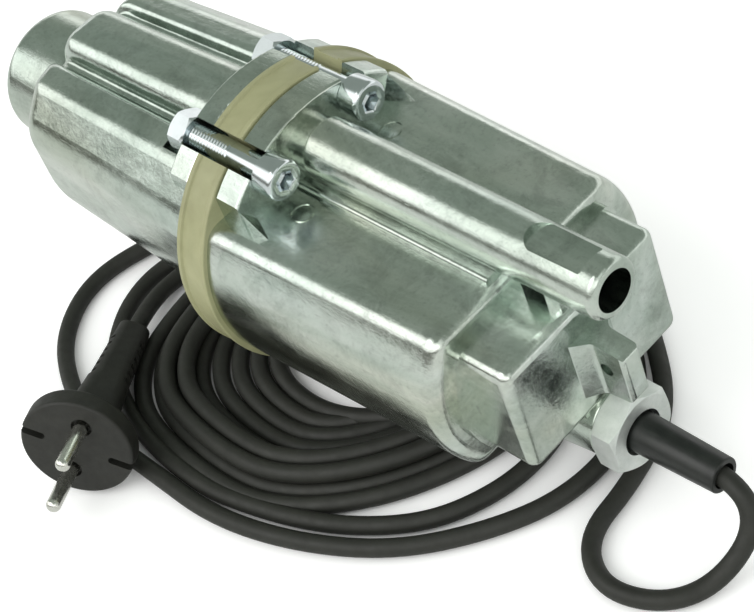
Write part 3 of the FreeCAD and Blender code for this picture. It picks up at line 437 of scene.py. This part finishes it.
def curve_piece(name, points, radius, material):
    """smooth tube along control points given in millimetres"""
    data = bpy.data.curves.new(name, "CURVE")
    data.dimensions = "3D"
    data.bevel_depth = radius * MM
    data.bevel_resolution = 5
    data.resolution_u = 8
    data.use_fill_caps = True
    spline = data.splines.new("NURBS")
    spline.points.add(len(points) - 1)
    for target, point in zip(spline.points, points):
        target.co = (*(point * MM), 1)
    spline.order_u = 3
    spline.use_endpoint_u = True
    piece = bpy.data.objects.new(name, data)
    bpy.context.scene.collection.objects.link(piece)
    data.materials.append(material)
    return piece


def mesh_piece(name, shape, material, smooth_angle=35.0):
    """object from a finished bmesh, smooth where faces meet at less than the angle"""
    data = bpy.data.meshes.new(name)
    bmesh.ops.recalc_face_normals(shape, faces=shape.faces)
    shape.to_mesh(data)
    shape.free()
    data.materials.append(material)
    data.shade_smooth()
    data.set_sharp_from_angle(angle=math.radians(smooth_angle))
    piece = bpy.data.objects.new(name, data)
    bpy.context.scene.collection.objects.link(piece)
    return piece


def ring_of(shape, x, radii, y, z):
    """ring of vertices about a line along X; radii is a function of the angle"""
    ring = []
    for k in range(SCREW_SEGMENTS):
        angle = 2 * math.pi * k / SCREW_SEGMENTS
        radius = radii(angle)
        point = Vector((x, y + radius * math.cos(angle), z + radius * math.sin(angle)))
        ring.append(shape.verts.new(point * MM))
    return ring


def skin(shape, rings):
    """quads between rings that follow each other"""
    for near, far in zip(rings, rings[1:]):
        count = len(near)
        for k in range(count):
            shape.faces.new((near[k], near[(k + 1) % count], far[(k + 1) % count], far[k]))


def circle_radius(constant):
    """radius of a circle's outline as a function of the angle"""
    return lambda angle: constant


def hexagon_radius(corner_radius):
    """radius of a hexagon's outline, given to its corners, as a function of the angle"""
    def radius(angle):
        within = (angle + math.pi / 6) % (math.pi / 3) - math.pi / 6
        return corner_radius * math.cos(math.pi / 6) / math.cos(within)
    return radius


def clamp_screw(shape, y, z):
    """socket cap screw: chamfered head with a hexagon recess, plain shank, then a helical thread"""
    key = hexagon_radius(SCREW_KEY_RADIUS)
    key_floor = SCREW_HEAD_END - SCREW_KEY_DEPTH
    rings = [ring_of(shape, key_floor - SCREW_KEY_CONE_DEPTH, circle_radius(SCREW_KEY_CONE_RADIUS), y, z),
             ring_of(shape, key_floor, key, y, z),
             ring_of(shape, SCREW_HEAD_END - SCREW_KEY_EDGE, key, y, z),
             ring_of(shape, SCREW_HEAD_END, circle_radius(SCREW_KEY_RADIUS + SCREW_KEY_EDGE), y, z)]
    for x, radius in SCREW_OUTLINE:
        rings.append(ring_of(shape, x, circle_radius(radius), y, z))
    count = int((THREAD_END - SCREW_TIP) / THREAD_PITCH * THREAD_STEPS)
    for i in range(1, count):
        x = THREAD_END - i * THREAD_PITCH / THREAD_STEPS
        fade = min(1.0, (THREAD_END - x) / THREAD_RUNOUT)
        tip = min(1.0, (x - SCREW_TIP) / THREAD_TIP)

        def thread(angle, x=x, fade=fade, tip=tip):
            phase = (x / THREAD_PITCH - angle / (2 * math.pi)) % 1.0
            saw = abs(phase - 0.5) * 2
            groove = min(1.0, max(0.0, (saw - THREAD_CREST_SHARE) / THREAD_FLANK_SHARE))
            return (SCREW_RADIUS - THREAD_DEPTH * groove * fade) * (THREAD_TIP_SHARE + THREAD_TIP_GAIN * tip)
        rings.append(ring_of(shape, x, thread, y, z))
    rings.append(ring_of(shape, SCREW_TIP, circle_radius(SCREW_RADIUS * SCREW_TIP_SHARE), y, z))
    skin(shape, rings)
    shape.faces.new(rings[0])
    shape.faces.new(rings[-1])


def clamp_screws(material):
    """the four screws as one piece, which rides the pump in place of the plain ones"""
    shape = bmesh.new()
    for side in (-1, 1):
        for up in (-1, 1):
            clamp_screw(shape, side * SCREW_SIDE, up * SCREW_UP)
    piece = mesh_piece("threaded_screws", shape, material)
    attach(piece, "pump")
    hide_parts("clamp_screws")


def link(tree, source, target):
    tree.links.new(source, target)


def around_pump(tree, place, up):
    """how near a direction, seen along the pump, is to one that points this far round from straight up"""
    side = tree.nodes.new("ShaderNodeVectorMath")
    side.operation = "MULTIPLY"
    side.inputs[1].default_value = (0, 1, 1)
    link(tree, place, side.inputs[0])
    unit = tree.nodes.new("ShaderNodeVectorMath")
    unit.operation = "NORMALIZE"
    link(tree, side.outputs["Vector"], unit.inputs[0])
    near = tree.nodes.new("ShaderNodeVectorMath")
    near.operation = "DOT_PRODUCT"
    near.inputs[1].default_value = (0, -math.sin(math.radians(up)), math.cos(math.radians(up)))
    link(tree, unit.outputs["Vector"], near.inputs[0])
    return near.outputs["Value"]


def studio():
    """grey-green surroundings with a long strip of light in front, a white back and a dark low front"""
    world = bpy.data.worlds.new("studio")
    bpy.context.scene.world = world
    world.use_nodes = True
    tree = world.node_tree
    back = tree.nodes["Background"]
    rays = tree.nodes.new("ShaderNodeLightPath")
    place = tree.nodes.new("ShaderNodeTexCoord").outputs["Generated"]
    colour = None
    for up, edge, full, level in STUDIO_BANDS:
        share = tree.nodes.new("ShaderNodeMapRange")
        share.interpolation_type = "SMOOTHSTEP"
        share.inputs["From Min"].default_value = math.cos(math.radians(edge))
        share.inputs["From Max"].default_value = math.cos(math.radians(full))
        link(tree, around_pump(tree, place, up), share.inputs["Value"])
        mix = tree.nodes.new("ShaderNodeMix")
        mix.data_type = "RGBA"
        link(tree, share.outputs["Result"], mix.inputs[MIX_SHARE])
        if colour:
            link(tree, colour, mix.inputs[MIX_FIRST])
        else:
            mix.inputs[MIX_FIRST].default_value = (*STUDIO_LEVEL, 1)
        mix.inputs[MIX_SECOND].default_value = (*level, 1)
        colour = mix.outputs[MIX_RESULT]
    seen = tree.nodes.new("ShaderNodeMix")
    seen.data_type = "RGBA"
    link(tree, rays.outputs["Is Camera Ray"], seen.inputs[MIX_SHARE])
    link(tree, colour, seen.inputs[MIX_FIRST])
    seen.inputs[MIX_SECOND].default_value = (1, 1, 1, 1)
    link(tree, seen.outputs[MIX_RESULT], back.inputs["Color"])
    for name, spot, size, power in STUDIO_LAMPS:
        data = bpy.data.lights.new(name, "AREA")
        data.size = size
        data.energy = power
        lamp = bpy.data.objects.new(name, data)
        lamp.location = spot
        lamp.rotation_euler = (-Vector(spot)).to_track_quat("-Z", "Y").to_euler()
        bpy.context.scene.collection.objects.link(lamp)


def floor():
    """white floor that keeps the object's shadow"""
    data = bpy.data.meshes.new("floor")
    half = FLOOR_HALF_WIDTH
    up = FLOOR * MM - FLOOR_DROP
    corners = [(-half, -half, up), (half, -half, up), (half, half, up), (-half, half, up)]
    data.from_pydata(corners, [], [(0, 1, 2, 3)])
    piece = bpy.data.objects.new("floor", data)
    bpy.context.scene.collection.objects.link(piece)
    look = Look("floor", Roughness=0.9, Base_Color=(0.8, 0.8, 0.8, 1), Emission_Color=(1, 1, 1, 1))
    rays = look.node("ShaderNodeLightPath")
    mirrored = look.math("MAXIMUM", rays.outputs["Is Glossy Ray"], rays.outputs["Is Transmission Ray"])
    # painted shade: the floor's own glow is dimmed by ambient occlusion under the pump and between the
    # cable's turns, on top of its real shadow
    open_sky = look.node("ShaderNodeAmbientOcclusion", samples=8)
    open_sky.inputs["Distance"].default_value = FLOOR_SHADE_REACH
    seen = look.math("MULTIPLY", rays.outputs["Is Camera Ray"], FLOOR_SEEN)
    seen = look.math("MULTIPLY", seen, open_sky.outputs["AO"])
    strength = look.math("MAXIMUM", seen, look.math("MULTIPLY", mirrored, FLOOR_MIRRORED))
    look.feed(strength, look.shader.inputs["Emission Strength"])
    data.materials.append(look.material)


scene_camera()
studio()
floor()
finishes = paint_nodes()
bpy.context.scene.view_settings.view_transform = "Standard"

cable = curve_piece("mains_cable", cord_route(), CABLE_RADIUS, finishes["cable_rubber"])
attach(cable, "pump")
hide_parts("power_cable", "cable_coil", "outer_turn", "plug_cable")
clamp_screws(finishes["zinc_steel"])
